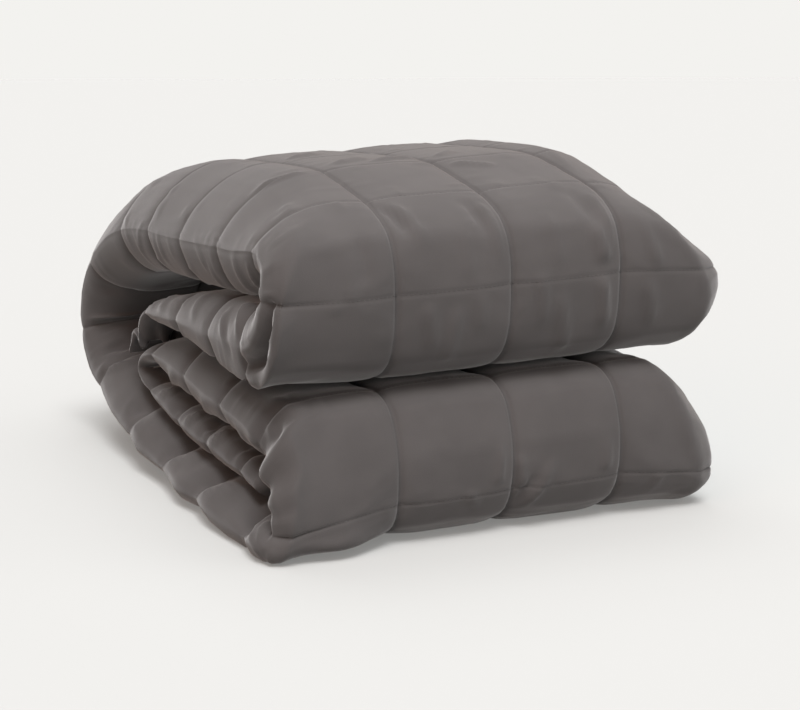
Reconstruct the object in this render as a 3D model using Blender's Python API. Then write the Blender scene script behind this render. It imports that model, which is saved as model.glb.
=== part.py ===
"""Quilted weighted blanket, folded into a thick block of soft layers.

The blanket is quarter-folded across its width, so every layer is a slab of four
thicknesses with a round closed fold at the left end. The slab then runs back and
forth: both ends are folded to the middle and the whole is folded in half, which
leaves two round folds in front, one above the other, and one broad fold behind.

Everything below is counted in quilting squares and turned into metres at the end.
The slab is one closed loft: a ring across the width for every quarter square along
the cloth. Metres, +Z up, +Y from the front folds to the broad fold, resting on z = 0.
"""
import math

import bmesh
import bpy
import numpy as np

SQUARE = 0.09            # side of one quilting square, metres
STEPS = 4                # rings to a square along the cloth
COLUMN_SEAMS = (0.99, 1.98, 2.97)      # lengthwise seams across the width, squares
FIRST_STEPS = (0.0, 0.09, 0.20, 0.34, 0.54, 0.77)   # from the left edge to the first seam
MIDDLE_STEPS = (0.0, 0.25, 0.5, 0.75)
LAST_STEPS = (0.0, 0.25, 0.5, 0.74, 0.92)     # stations from the last seam to the right edge
RISE_HEIGHTS = (0.0, 0.36, 1.9, 2.9)      # heights for which the next line holds
RISE = (0.0, 0.022, 0.041, 0.050)         # how much a square further right lies higher
PUFF_POWER = 2.4         # how flat-topped a quilted square is
PUFF_SPREAD = 0.18       # uneven filling from square to square, as a share of the seam depth
CROSS_SHARE = 0.4        # how deep the crosswise seams are drawn in, to the lengthwise ones
SLUMP_WIDTH = 0.9        # width from the left edge over which the slab slumps, squares
POINTED = 1.25           # how pointed the left edge is on its outer side
EDGE_POWER = 1.3         # how late the slab thins and droops towards its right edge
EDGE_DEPTH = 0.25        # share of the seam depth that is left at the very edge
EASE = 0.45              # half the length over which the end table is smoothed, squares

# The fold of the slab, seen from the left end: the seam number along the cloth, the
# place of the slab's left edge, how far the slab reaches to its outer and its inner
# side, and how deep the quilting seams are drawn in. All in squares.
FOLD_COLUMNS = ("section", "seam", "y", "z", "outer", "inner", "depth")
FOLD = (
    ("flap_end",   -4.85, 3.86, 1.02, 0.05, 0.05, 0.01),
    ("flap",       -4.66, 3.88, 1.18, 0.07, 0.07, 0.02),
    ("flap",       -4.40, 3.78, 1.34, 0.09, 0.09, 0.03),
    ("flap",       -4.05, 3.48, 1.45, 0.09, 0.11, 0.03),
    ("flap",       -3.55, 3.00, 1.50, 0.11, 0.17, 0.05),
    ("flap",       -3.00, 2.46, 1.53, 0.15, 0.24, 0.06),
    ("flap",       -2.50, 1.98, 1.54, 0.20, 0.30, 0.07),
    ("upper_fold", -2.00, 1.54, 1.53, 0.24, 0.32, 0.07),
    ("upper_fold", -1.50, 1.12, 1.53, 0.28, 0.32, 0.06),
    ("upper_fold", -1.00, 0.70, 1.52, 0.31, 0.33, 0.05),
    ("upper_fold", -0.46, 0.33, 1.67, 0.365, 0.28, 0.06),
    ("upper_fold", -0.20, 0.23, 1.83, 0.29, 0.26, 0.07),
    ("upper_fold",  0.00, 0.20, 1.97, 0.25, 0.25, 0.07),
    ("upper_fold",  0.45, 0.27, 2.22, 0.27, 0.26, 0.07),
    ("upper_fold",  1.00, 0.62, 2.33, 0.33, 0.32, 0.05),
    ("top",         1.50, 1.03, 2.32, 0.45, 0.41, 0.06),
    ("top",         2.00, 1.48, 2.32, 0.53, 0.43, 0.06),
    ("top",         3.00, 2.42, 2.30, 0.57, 0.44, 0.06),
    ("top",         4.00, 3.28, 2.28, 0.58, 0.45, 0.06),
    ("top",         4.90, 3.98, 2.21, 0.55, 0.46, 0.06),
    ("spine",       5.52, 4.58, 2.03, 0.51, 0.46, 0.06),
    ("spine",       6.04, 5.04, 1.73, 0.43, 0.42, 0.06),
    ("spine",       6.52, 5.28, 1.40, 0.33, 0.40, 0.06),
    ("spine",       6.96, 5.31, 1.08, 0.29, 0.38, 0.06),
    ("spine",       7.42, 5.13, 0.78, 0.28, 0.36, 0.06),
    ("spine",       7.92, 4.78, 0.59, 0.27, 0.34, 0.06),
    ("bottom",      8.38, 4.24, 0.46, 0.27, 0.33, 0.06),
    ("bottom",      8.90, 3.60, 0.35, 0.27, 0.30, 0.05),
    ("bottom",      9.46, 3.00, 0.26, 0.25, 0.25, 0.05),
    ("bottom",     10.18, 2.30, 0.20, 0.22, 0.22, 0.05),
    ("bottom",     11.00, 1.50, 0.17, 0.21, 0.22, 0.05),
    ("lower_fold", 11.58, 0.94, 0.17, 0.22, 0.20, 0.06),
    ("lower_fold", 12.00, 0.54, 0.17, 0.23, 0.19, 0.07),
    ("lower_fold", 12.52, 0.22, 0.24, 0.21, 0.16, 0.08),
    ("lower_fold", 13.00, 0.11, 0.37, 0.20, 0.15, 0.07),
    ("lower_fold", 13.50, 0.18, 0.65, 0.315, 0.19, 0.07),
    ("lower_fold", 13.75, 0.32, 0.78, 0.41, 0.22, 0.07),
    ("lower_fold", 14.00, 0.50, 0.88, 0.35, 0.25, 0.07),
    ("lower_fold", 14.25, 0.71, 0.93, 0.26, 0.25, 0.08),
    ("inner",      14.56, 0.98, 0.95, 0.25, 0.24, 0.09),
    ("inner",      15.30, 1.65, 0.99, 0.28, 0.26, 0.11),
    ("inner",      16.05, 2.40, 1.05, 0.29, 0.26, 0.11),
    ("inner",      16.62, 2.96, 1.09, 0.21, 0.21, 0.08),
    ("back_fold",  17.05, 3.38, 1.07, 0.13, 0.11, 0.04),
    ("back_fold",  17.42, 3.68, 0.98, 0.11, 0.07, 0.03),
    ("back_fold",  17.66, 3.74, 0.86, 0.11, 0.06, 0.03),
    ("back_fold",  18.00, 3.42, 0.73, 0.13, 0.10, 0.03),
    ("tuck",       18.42, 3.04, 0.68, 0.16, 0.15, 0.04),
    ("tuck",       19.05, 2.50, 0.61, 0.17, 0.17, 0.05),
    ("tuck",       20.00, 1.80, 0.56, 0.16, 0.17, 0.05),
    ("tuck",       21.00, 1.00, 0.50, 0.12, 0.16, 0.04),
    ("tuck_end",   21.50, 0.60, 0.45, 0.08, 0.10, 0.02),
)

# The two ends of the slab: where it reaches on the left, over what width its outer and
# inner corner are rounded there, how far that end slumps down and spreads forward, where
# it reaches on the right, over what width its outer and inner half thin towards that edge,
# how blunt that thinning is on either half, how far the edge droops and over what width.
END_COLUMNS = ("section", "seam", "left", "round_outer", "round_inner", "slump", "spread",
               "right", "thin_outer", "blunt_outer", "thin_inner", "blunt_inner", "droop",
               "droop_width")
ENDS = (
    ("flap_end",   -4.85,  0.00, 0.10, 0.10, 0.00, 0.00, 3.90, 0.15, 0.50, 0.60, 0.80,  0.00, 1.0),
    ("flap",       -3.50, -0.01, 0.10, 0.20, 0.00, 0.00, 3.94, 0.16, 0.50, 0.90, 0.80,  0.00, 1.0),
    ("flap",       -2.20, -0.02, 0.10, 0.36, 0.00, 0.00, 3.96, 0.24, 0.50, 1.00, 0.90,  0.00, 1.0),
    ("upper_fold", -1.00, -0.01, 0.10, 0.34, -0.07, 0.00, 3.95, 0.50, 0.80, 1.00, 0.90,  0.00, 1.0),
    ("upper_fold", -0.10,  0.00, 0.10, 0.44, -0.02, 0.00, 4.16, 0.16, 0.50, 0.90, 0.90,  0.00, 1.0),
    ("upper_fold",  0.50,  0.02, 0.20, 0.40, 0.00, 0.00, 3.74, 0.52, 1.00, 0.80, 0.90, -0.26, 0.9),
    ("upper_fold",  1.00,  0.05, 0.75, 0.34, 0.00, 0.00, 3.72, 0.40, 0.80, 0.80, 0.90, -0.20, 0.8),
    ("top",         2.00,  0.05, 0.92, 0.26, 0.00, 0.00, 3.96, 0.66, 0.80, 0.80, 0.90, -0.42, 0.8),
    ("top",         3.20,  0.02, 0.92, 0.34, 0.00, 0.00, 4.12, 0.74, 0.78, 0.90, 0.90, -0.42, 0.9),
    ("top",         4.90, -0.03, 0.76, 0.40, 0.00, 0.00, 4.16, 0.72, 0.70, 0.80, 0.80, -0.34, 0.9),
    ("spine",       6.00, -0.11, 0.54, 0.45, 0.00, 0.00, 4.12, 0.66, 0.60, 0.70, 0.65, -0.10, 0.8),
    ("spine",       6.90, -0.14, 0.50, 0.50, 0.00, 0.00, 4.06, 0.60, 0.55, 0.60, 0.55,  0.00, 0.6),
    ("bottom",      8.80, -0.12, 0.40, 0.40, 0.00, 0.00, 4.02, 0.40, 0.50, 0.50, 0.50,  0.00, 0.6),
    ("bottom",     11.20, -0.10, 0.26, 0.36, 0.00, 0.00, 4.00, 0.30, 0.50, 0.40, 0.50,  0.00, 0.6),
    ("lower_fold", 12.30, -0.12, 0.12, 0.28, 0.06, 0.22, 3.97, 0.30, 0.60, 0.40, 0.50,  0.00, 1.0),
    ("lower_fold", 13.00, -0.10, 0.12, 0.34, 0.18, 0.12, 4.01, 0.20, 0.50, 0.40, 0.50, -0.14, 1.0),
    ("lower_fold", 14.10,  0.01, 0.24, 0.34, 0.00, 0.00, 3.84, 0.56, 0.90, 0.45, 0.50,  0.00, 1.0),
    ("inner",      15.40,  0.01, 0.36, 0.24, 0.00, 0.00, 3.88, 0.50, 0.50, 0.50, 0.50,  0.00, 1.0),
    ("back_fold",  17.40,  0.02, 0.20, 0.16, 0.00, 0.00, 3.84, 0.40, 0.50, 0.40, 0.50,  0.00, 1.0),
    ("tuck",       19.20,  0.01, 0.16, 0.24, 0.00, 0.00, 3.84, 0.40, 0.50, 0.40, 0.50,  0.00, 1.0),
    ("tuck_end",   21.50,  0.06, 0.12, 0.12, 0.00, 0.00, 3.76, 0.30, 0.50, 0.30, 0.50,  0.00, 1.0),
)


def column(table, names, name):
    """One named column of a table, as an array."""
    return np.array([row[names.index(name)] for row in table], float)


def natural_cubic(knots, values, at):
    """A natural cubic spline through values at the knots, read at the places in at."""
    count = len(knots)
    gap = np.diff(knots)
    matrix = np.eye(count)
    right_side = np.zeros(count)
    for i in range(1, count - 1):
        matrix[i, i - 1:i + 2] = (gap[i - 1], 2.0 * (gap[i - 1] + gap[i]), gap[i])
        right_side[i] = 6.0 * ((values[i + 1] - values[i]) / gap[i]
                               - (values[i] - values[i - 1]) / gap[i - 1])
    bend = np.linalg.solve(matrix, right_side)
    i = np.clip(np.searchsorted(knots, at) - 1, 0, count - 2)
    before = knots[i + 1] - at
    after = at - knots[i]
    return ((bend[i] * before ** 3 + bend[i + 1] * after ** 3) / (6.0 * gap[i])
            + (values[i] / gap[i] - bend[i] * gap[i] / 6.0) * before
            + (values[i + 1] / gap[i] - bend[i + 1] * gap[i] / 6.0) * after)


def fold_path(seams):
    """The slab's edge line, its outward direction and its thicknesses at each seam number."""
    knots = column(FOLD, FOLD_COLUMNS, "seam")
    curves = {name: natural_cubic(knots, column(FOLD, FOLD_COLUMNS, name), seams)
              for name in FOLD_COLUMNS[2:]}
    step = 0.01
    along = np.array([natural_cubic(knots, column(FOLD, FOLD_COLUMNS, name), seams + step)
                      - natural_cubic(knots, column(FOLD, FOLD_COLUMNS, name), seams - step)
                      for name in ("y", "z")])
    along /= np.hypot(along[0], along[1])
    curves["out_y"] = -along[1]
    curves["out_z"] = along[0]
    return curves


def slab_ends(seams):
    """The end table at each seam number, smoothed over EASE to either side."""
    knots = column(ENDS, END_COLUMNS, "seam")
    near = np.linspace(-EASE, EASE, 7)
    return {name: np.mean([np.interp(seams + shift, knots, column(ENDS, END_COLUMNS, name))
                           for shift in near], axis=0)
            for name in END_COLUMNS[2:]}


def width_stations():
    """(square, place in the square) of each station from the left edge to the right edge."""
    squares = [FIRST_STEPS] + [MIDDLE_STEPS] * (len(COLUMN_SEAMS) - 1) + [LAST_STEPS]
    stations = [(square, place) for square, places in enumerate(squares) for place in places]
    return stations + [(len(COLUMN_SEAMS), 1.0)]


def left_corner(place, radius, height, width, pointed):
    """A rounded corner and the flat after it: x from the edge, share of height, direction."""
    corner = 0.5 * math.pi * math.sqrt(0.5 * (radius ** 2 + height ** 2))
    run = place * (corner + width - radius)
    if run >= corner:
        return radius + run - corner, 1.0, 0.0, 1.0
    angle = 0.5 * math.pi * run / corner
    lean_x = math.cos(angle) * height
    lean_n = math.sin(angle) * radius
    size = math.hypot(lean_x, lean_n)
    share = math.sin(angle) ** pointed
    return radius * (1.0 - math.cos(angle)), share, -lean_x / size, lean_n / size


def slab_station(square, place, face):
    """x, share of height, share of droop and outward direction of a station on one face."""
    if square == 0:
        width = COLUMN_SEAMS[0] - face["left"]
        x, share, lean_x, lean_n = left_corner(place, face["round"], face["height"], width,
                                               face["pointed"])
        return face["left"] + x, share, 0.0, lean_x, lean_n
    start = COLUMN_SEAMS[square - 1]
    if square < len(COLUMN_SEAMS):
        return start + place * (COLUMN_SEAMS[square] - start), 1.0, 0.0, 0.0, 1.0
    x = start + place * (face["right"] - start)
    toward_edge = 1.0 - (face["right"] - x) / np.array((face["thin"], face["droop_width"]))
    bend = np.clip(toward_edge, 0.0, 1.0) ** EDGE_POWER
    lean_x = bend[0] ** 2
    return x, (1.0 - bend[0]) ** face["blunt"], bend[1], lean_x, math.sqrt(1.0 - lean_x ** 2)


def drawn_share(seam, square, place, side):
    """How far the quilting draws a point in: near 0 in mid-square, 1 on a lengthwise seam."""
    along = 1.0 - abs(2.0 * (seam % 1.0) - 1.0) ** PUFF_POWER
    across = 1.0 - abs(2.0 * place - 1.0) ** PUFF_POWER
    fill = 0.5 + 0.5 * math.sin(12.9 * math.floor(seam) + 7.3 * square + 3.1 * side)
    full = across * (1.0 - CROSS_SHARE * (1.0 - along))
    return 1.0 - full * (1.0 - PUFF_SPREAD * fill)


def ring_face(ring, name):
    """The values of a ring that hold on its outer or inner face."""
    face = dict(ring)
    face["height"] = ring[name]
    face["pointed"] = POINTED if name == "outer" else 1.0
    for value in ("round", "thin", "blunt"):
        face[value] = ring[value + "_" + name]
    return face


def slab_point(ring, square, place, side):
    """One point of a ring, on the outer (side 1) or inner (side -1) face, in squares."""
    face = ring_face(ring, "outer" if side > 0 else "inner")
    x, share, sink, lean_x, lean_n = slab_station(square, place, face)
    drawn_in = ring["depth"] * drawn_share(ring["seam"], square, place, side)
    drawn_in *= min(1.0, EDGE_DEPTH + share)
    reach = side * (face["height"] * share - drawn_in * lean_n)
    x -= drawn_in * lean_x
    fallen = max(0.0, 1.0 - (x - ring["left"]) / SLUMP_WIDTH) ** 1.5
    y = ring["y"] + ring["out_y"] * reach - ring["spread"] * fallen
    z = ring["z"] + ring["out_z"] * reach + ring["droop"] * sink - ring["slump"] * fallen
    rise = np.interp(z, RISE_HEIGHTS, RISE)
    return x, y, max(0.0, z + rise * (x - COLUMN_SEAMS[0]))


def slab_rings():
    """The rings' points: left edge, outer face, right edge, inner face."""
    knots = column(FOLD, FOLD_COLUMNS, "seam")
    first = math.ceil(knots[0] * STEPS) / STEPS
    seams = np.arange(first, knots[-1], 1.0 / STEPS)
    seams = np.concatenate([knots[:1], seams[seams > knots[0] + 0.1], knots[-1:]])
    table = {"seam": seams, **fold_path(seams), **slab_ends(seams)}
    stations = width_stations()
    rings = []
    for i in range(len(seams)):
        ring = {name: values[i] for name, values in table.items()}
        outer = [slab_point(ring, square, place, 1) for square, place in stations]
        inner = [slab_point(ring, square, place, -1) for square, place in stations]
        rings.append(outer + inner[-2:0:-1])
    return np.array(rings), len(stations)


def blanket_mesh():
    """The folded slab as one closed body, resting on z = 0 about the origin."""
    rings, across = slab_rings()
    low = rings.min(axis=(0, 1))
    high = rings.max(axis=(0, 1))
    points = (rings - (0.5 * (low[0] + high[0]), 0.5 * (low[1] + high[1]), low[2])) * SQUARE
    mesh = bmesh.new()
    grid = [[mesh.verts.new(point) for point in ring] for ring in points]
    around = len(grid[0])
    for ring, after in zip(grid, grid[1:]):
        for j in range(around):
            k = (j + 1) % around
            mesh.faces.new((ring[j], ring[k], after[k], after[j]))
    for ring, turned in ((grid[0], True), (grid[-1], False)):
        for j in range(across - 1):
            corners = [ring[j], ring[j + 1], ring[-j - 1], ring[-j]]
            corners = list(dict.fromkeys(corners))
            mesh.faces.new(corners[::-1] if turned else corners)
    bmesh.ops.recalc_face_normals(mesh, faces=mesh.faces)
    data = bpy.data.meshes.new("blanket")
    mesh.to_mesh(data)
    mesh.free()
    data.shade_smooth()
    return data


def cloth_material():
    """Brushed warm grey cover cloth."""
    material = bpy.data.materials.new("grey_cover_cloth")
    material.use_nodes = True
    shader = material.node_tree.nodes["Principled BSDF"]
    shader.inputs["Base Color"].default_value = (0.13, 0.12, 0.115, 1.0)
    shader.inputs["Roughness"].default_value = 0.9
    shader.inputs["Metallic"].default_value = 0.0
    return material


def main():
    for leftover in list(bpy.data.objects):
        bpy.data.objects.remove(leftover)
    collection = bpy.data.collections.new("weighted_blanket")
    bpy.context.scene.collection.children.link(collection)
    blanket = bpy.data.objects.new("blanket", blanket_mesh())
    blanket.data.materials.append(cloth_material())
    collection.objects.link(blanket)


main()
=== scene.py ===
"""Looks of the folded weighted blanket: quilted cover, stitching, floor, light and camera."""

import math

import bpy
import numpy as np
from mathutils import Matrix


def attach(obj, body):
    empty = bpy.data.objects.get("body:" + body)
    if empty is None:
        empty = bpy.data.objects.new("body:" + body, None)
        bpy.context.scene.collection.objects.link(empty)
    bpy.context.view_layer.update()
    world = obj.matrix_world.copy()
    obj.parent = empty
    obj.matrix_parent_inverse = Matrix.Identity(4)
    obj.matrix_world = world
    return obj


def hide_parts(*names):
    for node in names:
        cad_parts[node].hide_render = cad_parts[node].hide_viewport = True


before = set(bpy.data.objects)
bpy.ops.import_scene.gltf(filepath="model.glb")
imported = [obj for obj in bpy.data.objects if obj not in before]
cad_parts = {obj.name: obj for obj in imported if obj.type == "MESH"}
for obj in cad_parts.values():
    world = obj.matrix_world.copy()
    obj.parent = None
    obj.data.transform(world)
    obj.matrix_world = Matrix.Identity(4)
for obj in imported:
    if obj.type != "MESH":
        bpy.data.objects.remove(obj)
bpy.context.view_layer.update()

# ---------------------------------------------------------------- driving sizes
SQUARE = 0.09            # side of one quilting square, metres
COLUMN_SEAMS = (0.99, 1.98, 2.97)      # lengthwise seams across the width, squares
WIDE = 4.0               # squares across one face, from the left edge to the right one
LOOP = 2.0 * WIDE        # and once round both faces
RISE_HEIGHTS = (0.0, 0.36, 1.9, 2.9)   # heights for which the next line holds
RISE = (0.0, 0.022, 0.041, 0.050)      # how much a square further right lies higher
SLUMP_WIDTH = 0.9        # width from the left edge over which the slab slumps, squares
SLUMP_POWER = 1.5        # how much of that slump lies close to the edge
POINTED = 1.25           # how pointed the left edge is on its outer side
EDGE_POWER = 1.3         # how late the slab thins and droops towards its right edge
EASE = 0.45              # half the length over which the end table is smoothed, squares
EASE_SAMPLES = 7         # places over that length whose mean is taken

# Mesh rows to a square, from the seam number given first: inside of the upper fold; front,
# top and spine; underside; lower fold; inside of the lower fold.
ROW_DETAIL = ((-5.0, 40), (-4.0, 24), (-2.0, 28), (9.0, 8), (12.0, 28), (15.0, 16), (22.0, 0))
OUTER_DETAIL = (36, 26, 26, 26)        # mesh columns to a square, outer face
INNER_DETAIL = (24, 6, 6, 8)           # and inner face
END_CLUSTER = 0.5        # how strongly rows and columns gather towards the seams
END_MARGIN = 0.03        # no row lies nearer than that to the slab's two ends, squares

SEAM_DEPTH = 0.016       # depth of the stitched groove, squares
SEAM_WIDTH = 0.014       # half width of that groove, squares
GROOVE_POWER = 1.3       # how sharply it is cut, 2 being round
CROSS_GROOVE = 0.5       # depth of the crosswise grooves, to the lengthwise ones
CROWN_POWER = 3.4        # how flat-topped a filled square is
CROWN_ROUND = 0.70       # and how steeply it rises from its seams
CROSS_SHARE = 0.09       # how deep the crosswise seams are drawn in, to the lengthwise ones
MODELLED_PUFF = 0.92     # share of a square's crown that is there before the filling presses
LEFT_NOTCH = 0.060       # how far the crosswise seams pull the left edge in, squares
RIGHT_NOTCH = 0.030      # and the right edge
NOTCH_REACH = 0.42       # how far from those edges the pull is felt
NOTCH_POWER = 6.0        # how narrowly it keeps to the seam
FULL_SPREAD = 0.18       # how much flatter the emptiest square is than the fullest
FULL_MIX = (12.9, 7.3)   # steps of the sine that fills each square differently
FULL_BACK = 5.0          # what sets the squares of the inner face apart in it
THIN_DEPTH = 0.25        # share of the quilting's depth that is left where the slab is thin

# Short puckers that run from each seam into the squares, by a fixed seed.
PUCKER_SEED = 7
PUCKERS = 5              # to one side of a square, on either side of its seam
PUCKER_LENGTH = (0.10, 0.34)
PUCKER_WIDTH = (0.022, 0.050)
PUCKER_HEIGHT = (0.002, 0.008)
PUCKER_PLACE = (0.04, 0.96)   # where along the side of a square they may start
PUCKER_LEAN = 0.3        # how far they may lean to either side, to their length
PUCKER_BACK = 0.04       # how far across the seam they start
PUCKER_DRIFT = 0.1       # and how far aside, to their lean
EDGE_PUCKER = 2.6        # how much higher they are along the left edge
LENGTHWISE_PUCKER = 0.7  # height at the lengthwise seams, to that at the crosswise ones
CREASE_REACH = 3.0       # widths to either side within which a pucker or crease is felt
CREASE_FADE = 0.3        # share of its length over which each of its ends runs out

# Creases that stand out, each from one place on the cloth to another: across counts squares
# from the left edge on the outer face, and is negative on the inner face. Troughs are negative.
CREASES = (
    # Place, then across and seam from, across and seam to, width, height.
    ("upper_edge",    0.18,  5.18,  0.08,  3.92, 0.022,  0.010),
    ("upper_edge",    0.08,  3.92,  0.10,  2.70, 0.022,  0.012),
    ("upper_edge",    0.10,  2.70,  0.16,  1.60, 0.022,  0.010),
    ("upper_edge",    0.25,  4.89, -0.14,  4.71, 0.040,  0.024),
    ("upper_edge",    0.14,  4.16, -0.22,  4.48, 0.045,  0.026),
    ("upper_edge",    0.11,  3.62, -0.24,  3.58, 0.040,  0.022),
    ("upper_edge",    0.06,  3.30, -0.14,  3.24, 0.035,  0.016),
    ("upper_edge",    0.11,  2.57, -0.18,  2.32, 0.040,  0.026),
    ("upper_edge",   -0.08,  2.26, -0.34,  2.20, 0.035,  0.018),
    ("upper_edge",    0.04,  1.52, -0.34,  1.46, 0.050,  0.022),
    ("front_corner", -0.05,  1.14, -0.34,  1.26, 0.035,  0.026),
    ("front_corner",  0.16,  1.05, -0.04,  0.92, 0.030,  0.020),
    ("front_corner",  0.08,  0.86, -0.10,  0.72, 0.030, -0.022),
    ("spine",        -0.10,  6.90, -0.60,  6.66, 0.050,  0.044),
    ("spine",        -0.16,  7.20, -0.52,  7.10, 0.100, -0.039),
    ("spine",        -0.10,  6.20, -0.55,  5.92, 0.090, -0.036),
    ("spine",        -0.22,  7.56, -0.50,  7.86, 0.110, -0.062),
    ("spine",        -0.02,  7.82, -0.40,  8.22, 0.045,  0.044),
    ("flap",         -0.20, -1.66,  0.04, -1.40, 0.045,  0.046),
    ("flap",         -0.34, -1.30, -0.04, -1.02, 0.050,  0.046),
    ("flap",         -0.10, -1.50,  0.08, -1.22, 0.040, -0.036),
    ("flap",         -0.30, -2.60, -0.02, -2.42, 0.060,  0.026),
    ("flap",         -0.30, -3.50,  0.02, -3.40, 0.070,  0.026),
    ("front_fold",   -0.05, -0.66,  0.04, -0.40, 0.040,  0.020),
    ("front_fold",   -0.04, -0.80,  0.04, -0.92, 0.040,  0.020),
    ("lower_corner",  0.40, 13.92,  0.12, 13.98, 0.026,  0.024),
    ("lower_corner",  0.16, 13.98,  0.10, 13.74, 0.030,  0.026),
    ("lower_corner",  0.24, 13.80,  0.06, 13.84, 0.040, -0.026),
    ("lower_corner",  0.03, 13.56,  0.10, 13.20, 0.030,  0.020),
    ("lower_corner",  0.03, 12.98,  0.14, 12.50, 0.030,  0.022),
    ("lower_corner", -0.10, 12.14,  0.05, 12.50, 0.040,  0.030),
    ("lower_corner", -0.22, 12.20, -0.06, 12.62, 0.040,  0.030),
    ("lower_corner",  0.02, 12.10, -0.38, 11.80, 0.085, -0.130),
    ("under_layer",  -0.02,  9.06, -0.40,  9.60, 0.044,  0.054),
    ("under_layer",  -0.14,  8.80, -0.40,  9.02, 0.110, -0.075),
    ("under_layer",  -0.04, 10.10, -0.40, 10.50, 0.050,  0.048),
    ("under_layer",  -0.10,  9.90, -0.40, 10.10, 0.088, -0.054),
    ("under_layer",  -0.04, 11.10, -0.42, 11.60, 0.050,  0.051),
    ("under_layer",  -0.12, 10.92, -0.42, 11.16, 0.088, -0.054),
    ("under_layer",   0.06,  9.20,  0.02,  9.80, 0.110,  0.040),
    ("under_layer",   0.06, 10.25,  0.02, 10.80, 0.110,  0.040),
    ("under_layer",   0.06, 11.25,  0.02, 11.80, 0.110,  0.040),
    ("tuck",          0.04, 18.28, -0.30, 18.60, 0.045,  0.045),
    ("tuck",          0.02, 18.80, -0.30, 19.02, 0.080, -0.045),
    ("tuck",          0.04, 19.22, -0.30, 19.52, 0.045,  0.045),
    ("tuck",          0.02, 19.76, -0.30, 19.96, 0.080, -0.045),
    ("tuck",          0.04, 20.14, -0.30, 20.44, 0.045,  0.045),
    ("tuck",          0.02, 20.70, -0.30, 20.86, 0.080, -0.045),
    ("inner",        -0.02, 14.60, -0.40, 14.20, 0.050,  0.030),
    ("inner",         0.05, 15.30, -0.30, 15.66, 0.050,  0.035),
    ("inner",         0.05, 16.20, -0.30, 16.60, 0.050,  0.035),
    ("top",           1.46,  2.12,  2.04,  2.30, 0.045,  0.030),
    ("top",           1.12,  2.16,  1.60,  2.44, 0.060,  0.030),
    ("top",           1.10,  3.14,  1.52,  3.40, 0.060,  0.030),
    ("top",           2.08,  1.86,  2.46,  1.58, 0.050,  0.026),
    ("top",           2.10,  2.12,  2.42,  2.44, 0.050,  0.026),
    ("top",           0.52,  2.08,  0.92,  1.94, 0.050,  0.026),
    ("front",         1.24, -0.04,  1.34, -0.46, 0.050,  0.030),
    ("front",         1.50, -0.10,  1.46, -0.52, 0.045,  0.034),
    ("front",         1.70, -0.02,  1.74, -0.34, 0.040,  0.020),
    ("front",         2.22,  0.12,  2.30, -0.36, 0.050,  0.027),
    ("front",         2.40, -0.06,  2.54, -0.58, 0.045,  0.034),
    ("front",         2.76,  0.42,  2.84,  0.08, 0.060,  0.049),
    ("front",         2.80,  0.02,  2.86, -0.40, 0.045,  0.042),
    ("front",         3.24,  0.44,  3.34,  0.02, 0.050,  0.026),
    ("front",         3.20, -0.04,  3.30, -0.44, 0.045,  0.030),
    ("front",         2.36, 13.30,  2.12, 12.72, 0.036,  0.034),
    ("front",         1.88, 13.44,  1.84, 13.06, 0.035,  0.031),
    ("front",         1.58, 13.10,  1.66, 12.84, 0.035,  0.022),
    ("front",         2.86, 13.40,  2.84, 13.04, 0.040,  0.025),
    ("front",         3.40, 13.04,  3.30, 12.76, 0.035,  0.025),
    ("front",         1.06,  0.92,  1.15,  0.40, 0.045, -0.032),
    ("front",         1.15,  0.90,  1.27,  0.30, 0.038,  0.024),
    ("front",         1.76,  0.88,  1.80,  0.34, 0.045, -0.030),
    ("front",         1.87,  0.80,  1.89,  0.14, 0.035,  0.024),
    ("front",         2.72,  0.86,  2.78,  0.36, 0.050, -0.024),
    ("front",         2.88,  0.76,  2.91,  0.14, 0.035,  0.024),
    ("front",         1.60,  0.50,  1.62,  0.04, 0.050,  0.019),
    ("front",         2.36,  0.60,  2.42,  0.04, 0.045,  0.016),
    ("front",         0.76,  0.52,  0.78,  0.08, 0.050, -0.019),
    ("front",         2.20, 13.20,  2.02, 12.74, 0.045, -0.026),
    ("front",         2.04, 13.36,  2.08, 12.98, 0.035,  0.022),
)

# Folds of the whole sheet at the crumpled hem of the flap; positive swings its face forward.
SHEET_FOLDS = (
    # Across and seam from, across and seam to, width, height.
    (-0.60, -4.38, 0.90, -4.34, 0.200,  0.150),
    (-0.60, -4.90, 0.70, -4.78, 0.080, -0.130),
    (-0.20, -4.06, 0.20, -4.56, 0.035,  0.110),
    ( 0.06, -4.80, 0.50, -4.14, 0.040, -0.130),
    ( 0.20, -4.04, 0.50, -4.80, 0.035,  0.100),
    ( 0.36, -4.86, 0.74, -4.30, 0.040, -0.080),
)

# The left end of the front fold is drawn in just inside its front corner.
PINCH_COLUMNS = ("seam", "depth")
PINCH = ((-1.05, 0.0), (-0.86, 0.10), (-0.60, 0.24), (-0.25, 0.20), (0.08, 0.0))
PINCH_SHARE = (0.40, 0.15)   # where it lies between edge line and face, and how wide it is

# How the slab's left edge waves in and out, by seam number and in squares.
WAVE_COLUMNS = ("seam", "shift")
EDGE_WAVES = (
    (8.10, 0.0), (8.50, -0.05), (8.96, -0.05), (9.30, -0.08), (9.60, -0.04), (9.94, -0.05),
    (10.30, -0.06), (10.62, -0.10), (10.94, -0.06), (11.30, -0.09), (11.60, -0.05),
    (11.94, -0.03), (12.10, -0.04), (12.40, -0.04), (12.80, 0.0),
    (13.07, 0.04), (13.23, 0.03), (13.30, 0.06), (13.37, 0.0), (13.44, 0.03), (13.53, 0.07),
    (13.60, 0.02), (13.66, -0.03), (13.72, -0.02), (13.79, 0.05), (13.86, 0.09), (13.95, 0.05),
    (14.10, 0.0),
)
WAVE_EASE = 0.05         # half the length over which that table is smoothed

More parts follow.
